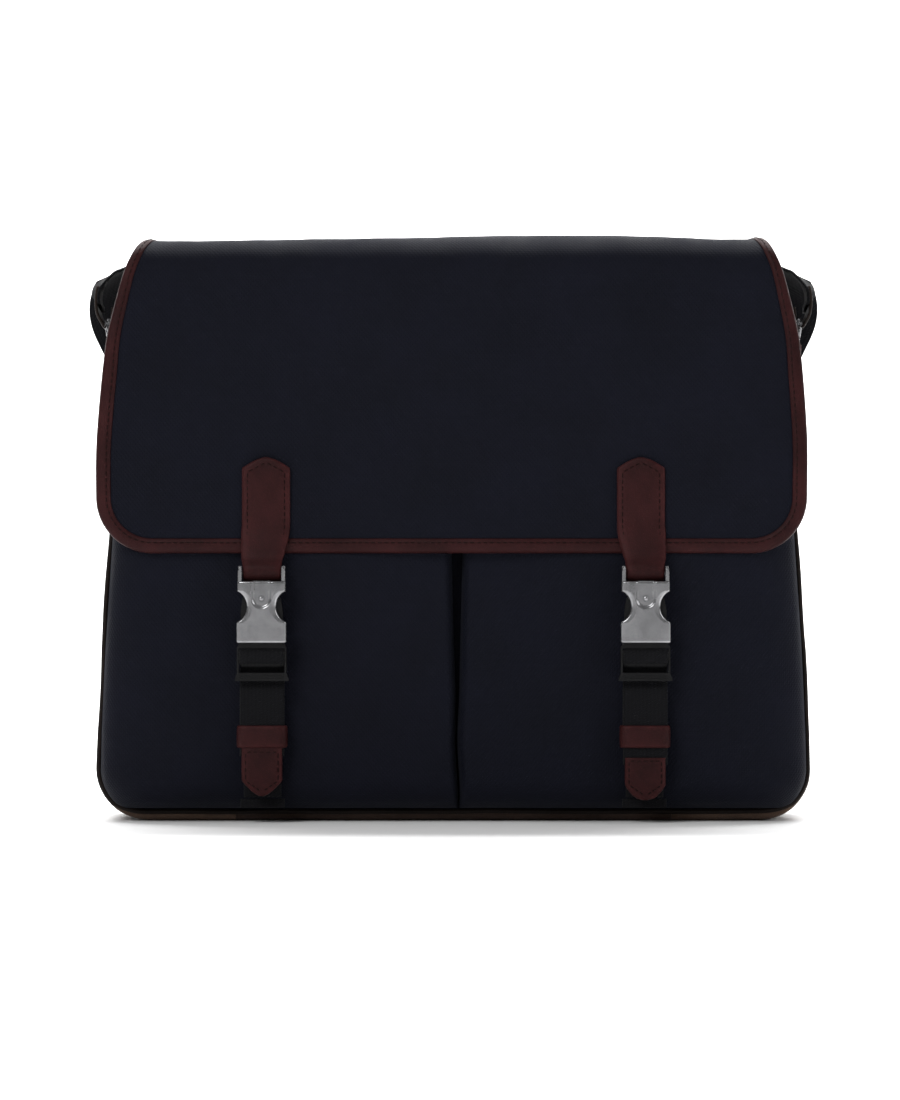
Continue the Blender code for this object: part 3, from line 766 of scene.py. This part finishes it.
def pocket_point(sign, u, z, depth):
    """A place on a pocket's cloth: u from 0 at the dividing line to 1 at the side seam."""
    start = divide_middle(z) + sign * divide_half(z)
    end = sign * seam_reach(z, 0.0010)
    x = start + (end - start) * u
    inner, outer = abs(x - start), abs(end - x)
    rise = quarter(outer, 0.024) * quarter(z - POCKET_LOW_Z, 0.017) * quarter(inner + 0.0004, 0.005)
    soft = min(1.0, inner / 0.03) * min(1.0, outer / 0.03) * min(1.0, (z - POCKET_LOW_Z) / 0.03)
    belly = 0.0016 * math.sin(math.pi * min(max((abs(x) - 0.01) / 0.18, 0), 1)) * soft
    wrinkle = 0.0011 * crumple(x, z, 0.045, 31.0) + 0.0005 * crumple(x, z, 0.016, 40.0)
    sag = 0.0012 * math.sin(z * 60 + x * 25) * soft
    pressed = 0.0010 * math.exp(-((abs(x) - BUCKLE_X) / 0.018) ** 2) * soft
    y = FRONT_LOW.y - 0.0012 - depth * rise - belly - (wrinkle + 0.4 * sag) * soft + pressed
    return Vector((x, y, z))


def make_pockets():
    depth = FRONT_LOW.y - POCKET_LOW.y - 0.0008
    top = POCKET_HIGH.z
    for side, sign in SIDES:
        rows = []
        for k in range(71):
            share = k / 70
            up = share ** 1.5 if share < 0.5 else 0.5 ** 1.5 + (share - 0.5) / 0.5 * (1 - 0.5 ** 1.5)
            z = POCKET_LOW_Z + (top - POCKET_LOW_Z) * up
            across = [0.5 - 0.5 * math.cos(math.pi * j / 76) for j in range(77)]
            rows.append([pocket_point(sign, u, z, depth) for u in across])
        made = surface(side + "_pocket_cloth", rows, NYLON, THIN_CLOTH_T, flip=sign < 0)
        finish_piece(made, "root", "nylon", side + "_pocket")
        edge = [pocket_point(sign, 0.5 - 0.5 * math.cos(math.pi * j / 60), top, depth) for j in range(1, 60)]
        section = [(0.0007, -0.009), (0.0009, 0.0), (0.0, 0.0014), (-0.0018, 0.0014), (-0.0027, 0.0),
                   (-0.0025, -0.009)]
        rings = []
        for i, point in enumerate(edge):
            along = tangent(edge, i)
            out = along.cross(UP).normalized()
            if out.y > 0:
                out = -out
            rings.append([point + out * a + UP * (b + 0.0006) for a, b in section])
        trim = loft(side + "_pocket_trim", rings, LEATHER)
        finish_piece(trim, "root", "leather", side + "_pocket_binding")
        row = [(r[0] + UP * 0.0028, (r[0] - r[5]).normalized()) for r in rings]
        sew(side + "_pocket_stitches", [row], 0.0038, "root")


# ---- flap ----

FLAP_PATH = spread(smooth_line(FLAP_LINE, 8), 0.0015)
FLAP_RUN = lengths([Vector((0, p[0], p[1])) for p in FLAP_PATH])
FLAP_TABLE = np.array([tuple(p) for p in FLAP_PATH])
FLAP_END = FLAP_RUN[-1]


def flap_at(s):
    """The flap's y, z and half width at a distance from its back seam; it hangs straight past its hem."""
    s_in = min(max(s, 0.0), FLAP_END)
    y, z, w = (float(np.interp(s_in, FLAP_RUN, FLAP_TABLE[:, k])) for k in range(3))
    return y, z - max(s - FLAP_END, 0.0), w


def flap_normal(s):
    a, b = flap_at(s - 0.002), flap_at(s + 0.002)
    along = Vector((0, b[0] - a[0], b[1] - a[1])).normalized()
    return Vector((0, along.z, -along.y))


def flap_point(x, s, lift=0.0):
    """A place on the flap's cloth, with its slack: gentle waves that grow towards the hem."""
    y, z, _ = flap_at(s)
    out = flap_normal(s)
    hang = min(max((s - 0.13) / 0.12, 0.0), 1.0)
    crest = math.exp(-((s - 0.07) / 0.045) ** 2)
    wave_out = 0.0010 * crumple(x, s, 0.085, 50.0) + 0.00055 * crumple(x, s, 0.032, 60.0)
    wave_out += 0.00022 * crumple(x, s, 0.012, 70.0)
    wave_out += hang * 0.0012 * math.sin(x * 38 + 0.6)
    slope = 0.008 * min(x - 0.05, 0.0) + 0.0012 * math.exp(-((x - 0.09) / 0.06) ** 2)
    wave_out += crest * (0.0010 * math.sin(x * 21 + 1.1) - 0.0008 * (x / 0.17) ** 2 + slope)
    bow = 0.0016 * math.sin(math.pi * min(max((s - 0.125) / (FLAP_END - 0.125), 0), 1))
    return Vector((x * FLAP_SPREAD + FLAP_DRIFT * hang, y, z)) + out * (wave_out + bow + lift)


def flap_half(s):
    """Half the flap's width at a distance from the seam, with the round bottom corners."""
    w = flap_at(s)[2]
    over = s - (FLAP_END - FLAP_CORNER_R)
    if over > 0:
        w = w - FLAP_CORNER_R + math.sqrt(max(FLAP_CORNER_R ** 2 - over ** 2, 0.0))
    return w


def flap_edge():
    """The flap's edge as (x, s), from the back seam on the left round the hem to the right."""
    step = 0.003
    side = [(flap_at(s)[2], s) for s in np.arange(0.0, FLAP_END - FLAP_CORNER_R, step)]
    centre = (flap_at(FLAP_END)[2] - FLAP_CORNER_R, FLAP_END - FLAP_CORNER_R)
    side += arc(centre, FLAP_CORNER_R, 0, 90, 16)
    flat = np.arange(centre[0], -centre[0], -step)[1:]
    return [(-x, s) for x, s in side] + [(-x, FLAP_END) for x in flat] + side[::-1]


def make_flap():
    """One sheet of cloth over the mouth and down the front, bound in leather along its edge."""
    rows = []
    hem = FLAP_END - 0.034 + 0.0328 * np.sin(np.linspace(0.06, 1, 22) * math.pi / 2)
    sides = np.concatenate([np.linspace(0, FLAP_END - 0.034, 90), hem])
    for s in sides:
        reach = flap_half(min(s + 0.0012, FLAP_END)) - 0.0015
        rows.append([flap_point(reach * (2 * j / 150 - 1), s, 0.0009) for j in range(151)])
    cloth = surface("flap_cloth", rows, NYLON, CLOTH_T, flip=True)
    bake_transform(cloth)
    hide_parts("flap_top", "flap_front")
    edge = flap_edge()
    rings, front_row, back_row = [], [], []
    face = [(1.0, 0.0012), (0.96, 0.0019), (0.56, 0.0021), (0.15, 0.0020), (0.025, 0.0014)]
    section = face + [(-0.05, 0.0)] + [(e, -h) for e, h in reversed(face)] + [(0.75, 0.0)]
    for i, (x, s) in enumerate(edge):
        before, after = edge[max(i - 1, 0)], edge[min(i + 1, len(edge) - 1)]
        along = Vector((after[0] - before[0], after[1] - before[1])).normalized()
        inward = Vector((along.y, -along.x))
        out = flap_normal(s)
        wide = float(np.interp(s, (0.0, 0.13, 0.19), (0.0052, 0.0056, BINDING_W)))
        thin = 1 - 0.35 * math.exp(-((s - 0.07) / 0.045) ** 2)
        rings.append([flap_point(x + inward.x * e * wide, s + inward.y * e * wide) + out * h * thin
                      for e, h in section])
        sewn = flap_point(*(Vector((x, s)) + inward * (wide - 0.0024)))
        front_row.append((sewn + out * 0.0021 * thin, out))
        back_row.append((sewn - out * 0.0021 * thin, -out))
    binding = loft("flap_binding_leather", rings, LEATHER)
    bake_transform(binding)
    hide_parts("flap_binding", "left_top_binding", "right_top_binding")
    sewn = stitches("flap_binding_stitches", [front_row, back_row], 0.0037, THREAD)
    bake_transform(sewn)
    welt = [Vector((x, BACK_HIGH.y - 0.0003, 0.2985 + 0.0004 * math.sin(x * 60)))
            for x in np.linspace(-0.1655, 0.1655, 90)]
    strap = strip("flap_seam_strip", welt, UP, 0.009, 0.0014, LEATHER)
    finish_piece(strap, "root", "leather")
    row = [p + Vector((0, 0.0009, 0)) - UP * 0.002 for p in welt]
    sew("flap_seam_stitches", [facing(row, BACKWARD)], 0.0038, "root")


# ---- buckle columns ----

def side_view(x, points, steps=6):
    """A smooth line in the y-z plane at an x."""
    return smooth_line([Vector((x, y, z)) for y, z in points], steps)


def make_tab(side, x, top_x):
    """The leather tab: a pointed end stitched to the flap, and a fold round the socket's pin."""
    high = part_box(side + "_flap_tab")[1]
    pin_low, pin_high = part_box(side + "_socket_pin")
    pin = (pin_low + pin_high) / 2
    radius = (pin_high.z - pin_low.z) / 2 + 0.0005 + 0.00115
    cloth = -flap_point(x, FLAP_END - 0.03).y + 0.0024
    face = [(-cloth, high.z), (-cloth, high.z - 0.003), (-cloth, high.z - 0.006), (-cloth, 0.185),
            (-cloth, 0.168), (-cloth - 0.0012, 0.159), (-0.0655, 0.149), (pin.y - radius, pin.z + 0.003)]
    loop = arc((pin.y, pin.z), radius, 175, 350, 10)
    back = [(pin.y + radius - 0.0004, pin.z + 0.0055)]
    line = spread(side_view(x, face + loop + back), 0.0012)
    for p in line:
        p.x += (top_x - x) * float(np.interp(p.z, (0.149, 0.166), (0.0, 1.0)))
    widths = []
    for p in line:
        tip = max(0.0, high.z - p.z)
        pointed = TAB_W * min(1.0, (tip / 0.0062) ** 0.62) if p.y > -0.0640 and p.z > 0.19 else TAB_W
        neck = float(np.interp(p.z, (pin.z + 0.004, 0.150, 0.162), (0.0215, 0.0238, TAB_W)))
        widths.append(max(min(pointed, neck), 0.002))
    tab = strip(side + "_tab_leather", line, ACROSS, widths, 0.0023, LEATHER, 0.0003)
    finish_piece(tab, "flap_front", "leather", side + "_flap_tab")
    rows = []
    top = high.z - 0.0085
    for sign in (-1, 1):
        edge = [Vector((top_x + sign * 0.0104, -cloth - 0.00128, z)) for z in np.linspace(0.1640, top, 12)]
        for z in (0.1600, 0.1570):
            in_x = top_x + (x - top_x) * (0.166 - z) / 0.017
            edge.insert(0, Vector((in_x + sign * 0.0100, -cloth - 0.0014 - (0.164 - z) * 0.12, z)))
        point = Vector((top_x, -cloth - 0.00145, high.z - 0.0030))
        rows.append(facing(edge, FORWARD))
        rows.append(facing([edge[-1].lerp(point, t) for t in (0.02, 0.5, 0.97)], FORWARD))
    sew(side + "_tab_stitches", rows, 0.0036, "flap_front")


def round_edges(made, width, angle):
    bevel = made.modifiers.new("edges", "BEVEL")
    bevel.width = width
    bevel.segments = 3
    bevel.limit_method = "ANGLE"
    bevel.angle_limit = math.radians(angle)
    weighted = made.modifiers.new("normals", "WEIGHTED_NORMAL")
    weighted.keep_sharp = False


def soften(name, width, material):
    """Round the edges of a CAD metal or plastic piece."""
    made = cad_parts[name]
    made.data.shade_smooth()
    round_edges(made, width, 35)
    made.data.materials[0] = material


def outline_block(name, points, y_front, y_back, material, bevel):
    """A flat piece with rounded edges, from its front outline."""
    count = len(points)
    verts = [Vector((x, y_front, z)) for x, z in points] + [Vector((x, y_back, z)) for x, z in points]
    faces = [tuple(range(count)), tuple(range(2 * count - 1, count - 1, -1))]
    faces += [(k, k + count, (k + 1) % count + count, (k + 1) % count) for k in range(count)]
    area = sum(a[0] * b[1] - b[0] * a[1] for a, b in zip(points, points[1:] + points[:1]))
    if area < 0:
        faces = [face[::-1] for face in faces]
    uvs = [(v.x, v.z) for v in verts]
    made = mesh_object(name, verts, faces, uvs, material)
    round_edges(made, bevel, 50)
    return made


def socket_half(z, low, high):
    """Half the socket's width at a height: shoulders, finger cut-outs and the wide mouth."""
    rise = z - low
    wide, shoulder, waist = 0.01372, 0.0132, 0.00800
    radius, centre = 0.0095, 0.0205
    reach = wide if rise < centre else shoulder
    off = abs(rise - centre)
    if off < radius:
        reach = min(reach, waist + radius - math.sqrt(radius ** 2 - off ** 2))
    end = min(rise, high - z)
    return reach - 0.0011 * (1 - quarter(end, 0.0012))


def make_socket_face(side, x):
    """The socket's polished face: crowned edges, a round dish at the top and the ears that hold the pin."""
    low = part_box(side + "_socket")[0]
    top = low.z + 0.0347
    stud_low, stud_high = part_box(side + "_socket_stud")
    stud_z = (stud_low.z + stud_high.z) / 2
    rows = []
    for z in np.linspace(low.z + 0.00002, top, 76):
        reach = socket_half(z, low.z, top)
        row = []
        for j in range(61):
            u = math.sin(math.pi / 2 * (j / 30 - 1))
            px = u * reach
            side_gap = (1 - abs(u)) * reach
            ends = min(z - low.z, top - z)
            rise = quarter(side_gap + 0.0001, 0.0013) * quarter(ends + 0.0001, 0.0011)
            flank = min(side_gap / 0.0036, 1.0)
            rise *= 0.86 + 0.14 * flank * flank * (3 - 2 * flank)
            crown = 0.0005 * (1 - (px / 0.0137) ** 2)
            away = abs(px) if z > stud_z else math.hypot(px, z - stud_z)
            dish = min(max((0.0056 - away) / 0.0012, 0.0), 1.0)
            dish = dish * dish * (3 - 2 * dish)
            row.append((x + px, low.y + 0.0003 - 0.0012 * rise - crown + 0.0009 * dish, z))
        rows.append(row)
    plate = surface(side + "_socket_face", rows, ZINC, 0.0012)
    finish_piece(plate, "flap_front", "zinc")
    stud = [(0.00012, -0.0008), (0.0010, -0.0006), (0.0016, -0.0001), (0.0019, 0.0006), (0.0019, 0.0016)]
    turns = [2 * math.pi * k / 20 for k in range(20)]
    rings = [[Vector((x + r * math.cos(t), low.y - 0.0007 + d, stud_z + r * math.sin(t))) for t in turns]
             for r, d in stud]
    finish_piece(loft(side + "_socket_rivet", rings, ZINC), "flap_front", "zinc")
    for sign, name in ((-1, "a"), (1, "b")):
        inner, outer = 0.01105, 0.0132
        shape = [(inner, top - 0.002), (outer, top - 0.002), (outer, 0.1412), (outer - 0.0006, 0.1428),
                 (inner + 0.0005, 0.1436), (inner, 0.1432)]
        shape = [(x + sign * px, z) for px, z in shape]
        ear = outline_block(f"{side}_socket_ear_{name}", shape, low.y + 0.0006, low.y + 0.0062, ZINC, 0.0004)
        finish_piece(ear, "flap_front", "zinc")


def make_clip_details(side, x):
    """Ridges on the ladder lock's thumb bar."""
    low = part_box(side + "_prong")[0]
    for k in range(3):
        z = 0.0809 + 0.0012 * k
        left, right = x - 0.0122, x + 0.0122
        shape = [(left, z), (right, z), (right, z + 0.0006), (left, z + 0.0006)]
        rib = outline_block(f"{side}_clip_rib_{k}", shape, low.y - 0.0004, low.y + 0.001, PLASTIC, 0.00015)
        finish_piece(rib, side + "_strap", "black_plastic")


def make_lower_strap(side, x):
    """Webbing through the ladder lock, the keeper, the leather tip and the anchor sewn to the pocket."""
    tip_low, tip_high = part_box(side + "_strap_tip")
    keeper_low, keeper_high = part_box(side + "_keeper")
    end = tip_high.z - 0.004
    points = [(-0.0578, 0.0147), (-0.0590, 0.019), (-0.0602, 0.027), (-0.0604, 0.042), (-0.0608, 0.058),
              (-0.0632, 0.076), (-0.0632, 0.093),
              (-0.0642, 0.0962), (-0.066, 0.09695), (-0.0722, 0.09695), (-0.0737, 0.0956),
              (-0.0737, 0.0916), (-0.0724, 0.0902), (-0.0672, 0.0886), (-0.06535, 0.0866),
              (-0.06535, 0.0795), (-0.0668, 0.075), (-0.0673, 0.066), (-0.0671, 0.050), (-0.0670, end)]
    line = spread(side_view(x, points, 5), 0.0011)
    widths = [0.0210 if p.z < 0.0445 and p.y > -0.0640 else WEB_W for p in line]
    web = strip(side + "_webbing", line, ACROSS, widths, WEB_T, WEBBING)
    finish_piece(web, side + "_strap", "webbing", side + "_strap_webbing")
    y = (tip_low.y + tip_high.y) / 2
    heights = np.linspace(tip_high.z + (0.0012 if side == "left" else 0.0), tip_low.z, 26)
    line = [Vector((x, y - 0.0004 * math.sin(40 * (z - 0.02)), z)) for z in heights]
    widths = []
    for z in heights:
        rest = max(z - tip_low.z, 0.0)
        point = 0.0035 + 0.0195 * min(rest / 0.0085, 1.0) ** (0.75 if side == "left" else 0.5)
        widths.append(min(point, 0.0228))
    tip = strip(side + "_tip_leather", line, ACROSS, widths, 0.0030, LEATHER, 0.0003)
    finish_piece(tip, side + "_strap", "leather", side + "_strap_tip")
    face = y - 0.0018
    top = tip_high.z - 0.0018
    rows = []
    for sign in (-1, 1):
        edge = [Vector((x + sign * 0.0091, face, z)) for z in np.linspace(tip_low.z + 0.0085, top, 8)]
        point = Vector((x + sign * 0.0008, face, tip_low.z + 0.0028))
        rows.append(facing(edge, FORWARD))
        rows.append(facing([edge[0].lerp(point, t) for t in (0.05, 0.5, 0.97)], FORWARD))
    rows.append(facing([Vector((x + dx, face, top)) for dx in np.linspace(-0.0088, 0.0088, 5)], FORWARD))
    sew(side + "_tip_stitches", rows, 0.0037, side + "_strap")
    middle_y = (keeper_low.y + keeper_high.y) / 2
    deep = (keeper_high.y - keeper_low.y) / 2 - 0.0008
    wide = 0.0131
    ring = []
    for cx, cy, start in ((wide - 0.003, deep - 0.003, 0), (-wide + 0.003, deep - 0.003, 90),
                          (-wide + 0.003, -deep + 0.003, 180), (wide - 0.003, -deep + 0.003, 270)):
        ring += arc((cx, cy), 0.003, start, start + 90, 4)
    middle_z = (keeper_low.z + keeper_high.z) / 2
    ring = spread([Vector((x + px, middle_y + py, middle_z)) for px, py in ring], 0.0015, closed=True)
    tall = keeper_high.z - keeper_low.z
    band = strip(side + "_keeper_leather", ring, UP, tall, LEATHER_T, LEATHER, 0.0002, True)
    finish_piece(band, side + "_keeper", "leather", side + "_keeper")
    low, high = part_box(side + "_strap_anchor")
    line = [Vector((x, (low.y + high.y) / 2 - 0.0006 * (1 - (k / 12)), z)) for k, z in
            enumerate(np.linspace(low.z, high.z, 13))]
    anchor = strip(side + "_anchor_webbing", line, ACROSS, WEB_W, WEB_T, WEBBING)
    finish_piece(anchor, "root", "webbing", side + "_strap_anchor")
    row = [Vector((x + dx, low.y - 0.0004, (low.z + high.z) / 2)) for dx in (-0.0112, 0.0, 0.0112)]
    sewn = stitches(side + "_anchor_stitches", [facing(row, FORWARD)], 0.0026, DARK_THREAD, 0.00018)
    finish_piece(sewn, "root", "webbing")


def make_buckles():
    for side, _ in SIDES:
        low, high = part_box(side + "_socket")
        x = (low.x + high.x) / 2
        tab_low, tab_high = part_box(side + "_flap_tab")
        make_tab(side, x, (tab_low.x + tab_high.x) / 2)
        make_socket_face(side, x)
        make_clip_details(side, x)
        make_lower_strap(side, x)
        for name in ("_socket", "_socket_pin", "_socket_stud"):
            soften(side + name, 0.0009 if name == "_socket" else 0.0003, ZINC)
        soften(side + "_prong", 0.0004, PLASTIC)
        for arm in ("_outer_arm", "_inner_arm"):
            soften(side + arm, 0.0004, PLASTIC)


# ---- shoulder strap ----

def make_side_fittings():
    """Rings, the chapes that hold them and the strap's leather ends."""
    for side, sign in SIDES:
        low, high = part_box(side + "_ring")
        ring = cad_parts[side + "_ring"]
        ring.data.materials[0] = ZINC
        smooth = ring.modifiers.new("round", "SUBSURF")
        smooth.levels = 2
        smooth.render_levels = 2
        y = (low.y + high.y) / 2
        bar = 0.0021
        bottom = (0.1945, low.z + bar)
        top = (0.1972, high.z - bar)
        loop = bar + 0.0014
        route = [(half(0.232) + 0.0010, 0.232), (half(0.245) + 0.0008, 0.245), (half(0.258) + 0.0012, 0.258)]
        route += arc(bottom, loop, 185, -110, 16) + [(bottom[0] + 0.0009, 0.2595)]
        line = spread(smooth_line([Vector((sign * px, y, pz)) for px, pz in route], 3), 0.0012)
        chape = strip(side + "_chape_leather", line, BACKWARD, 0.028, LEATHER_T, LEATHER, 0.0002)
        finish_piece(chape, "root", "leather", side + "_ring_chape")
        out = Vector((sign, 0, 0))
        rows = [facing([Vector((sign * (half(z) + 0.0022), y + dy, z)) for z in np.linspace(0.234, 0.252, 6)],
                       out) for dy in (-0.0118, 0.0118)]
        across = [Vector((sign * (half(0.234) + 0.0022), y + dy, 0.2345)) for dy in (-0.011, 0.0, 0.011)]
        sew(side + "_chape_stitches", rows + [facing(across, out)], 0.0036, "root")
        outer = [(0.1945, 0.2915)] + arc(top, loop, 130, 350, 14)
        outer += [(0.2030, 0.2868), (0.2040, 0.2915), (0.2042, 0.2955), (0.2039, 0.2990)]
        points = [Vector((sign * px, y + max(0.0, pz - 0.2955) * 0.35, pz)) for px, pz in outer]
        line = spread(smooth_line(points, 3), 0.0012)
        # The strap's ends use the near-black leather: painted shade over brown leather, where the strap
        # twists away from the light.
        made = strip(side + "_strap_end_leather", line, BACKWARD, 0.0285, LEATHER_T, DARK_LEATHER_AND_SHADE, 0.0002)
        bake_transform(made)
        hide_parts(side + "_strap_leather")


def make_shoulder_strap():
    """Webbing from ring to ring, hanging behind the back panel, with its metal slider."""
    half_line = [(Vector(p), Vector(n)) for p, n in STRAP_LINE]
    flip = Vector((-1, 1, 1))
    whole = half_line + [(p * flip, n * flip) for p, n in reversed(half_line[:-1])]
    line = smooth_line([p for p, n in whole], 10)
    faces = smooth_line([n for p, n in whole], 10)
    sides = [face.cross(tangent(line, i)).normalized() for i, face in enumerate(faces)]
    web = strip("shoulder_strap_webbing", line, sides, 0.030, 0.0018, WEBBING)
    finish_piece(web, "shoulder_strap", "webbing", "shoulder_webbing")
    soften("strap_slider", 0.0010, ZINC)


def make_inside():
    """The stiffener board under the lining."""
    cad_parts["base_board"].data.materials[0] = PLASTIC


# ---- camera and studio ----

def make_camera():
    """Straight on to the front, a long lens at the height of the bag's middle."""
    view_height = 0.616
    distance = 2.6
    camera = bpy.data.cameras.new("camera")
    camera.sensor_width = 36.0
    camera.lens = camera.sensor_width * distance / view_height
    holder = bpy.data.objects.new("camera", camera)
    holder.location = (-0.002, FLAP_LOW.y - distance, 0.153)
    holder.rotation_euler = (math.pi / 2, 0, 0)
    SCENE.collection.objects.link(holder)
    SCENE.camera = holder


def make_light(name, place, size, power, target=(0, 0, 0.15)):
    light = bpy.data.lights.new(name, "AREA")
    light.shape = "RECTANGLE"
    light.size, light.size_y = size
    light.energy = power
    holder = bpy.data.objects.new(name, light)
    holder.location = place
    holder.rotation_euler = (Vector(target) - Vector(place)).to_track_quat("-Z", "Y").to_euler()
    SCENE.collection.objects.link(holder)


def make_studio():
    floor_rows = []
    section = [(-6.0, -0.0002), (2.2, -0.0002)]
    section += [(2.2 + 1.5 * math.sin(t), -0.0002 + 1.5 * (1 - math.cos(t)))
                for t in np.linspace(0.1, math.pi / 2, 12)]
    section += [(3.7, 6.0)]
    for y, z in section:
        floor_rows.append([(x, y, z) for x in (-8.0, 0.0, 8.0)])
    floor = surface("studio_sweep", floor_rows, make_floor())
    world = bpy.data.worlds.new("studio")
    world.use_nodes = True
    world.node_tree.nodes["Background"].inputs[0].default_value = (1.0, 1.0, 1.0, 1.0)
    world.node_tree.nodes["Background"].inputs[1].default_value = 0.28
    SCENE.world = world
    make_light("key", (-1.2, -2.4, 1.9), (1.2, 1.2), 40)
    make_light("fill", (2.2, -1.2, 1.2), (1.2, 1.4), 13)
    make_light("top", (0.0, 0.5, 2.4), (2.2, 1.6), 12)
    make_light("sweep", (0.0, 1.2, 3.2), (4.5, 1.2), 360, (0, 3.4, 0.3))
    SCENE.view_settings.view_transform = "Standard"


make_camera()
make_studio()
make_panels()
make_bands()
make_piping()
make_mouth()
make_lining()
make_pockets()
make_flap()
make_buckles()
make_side_fittings()
make_shoulder_strap()
make_inside()
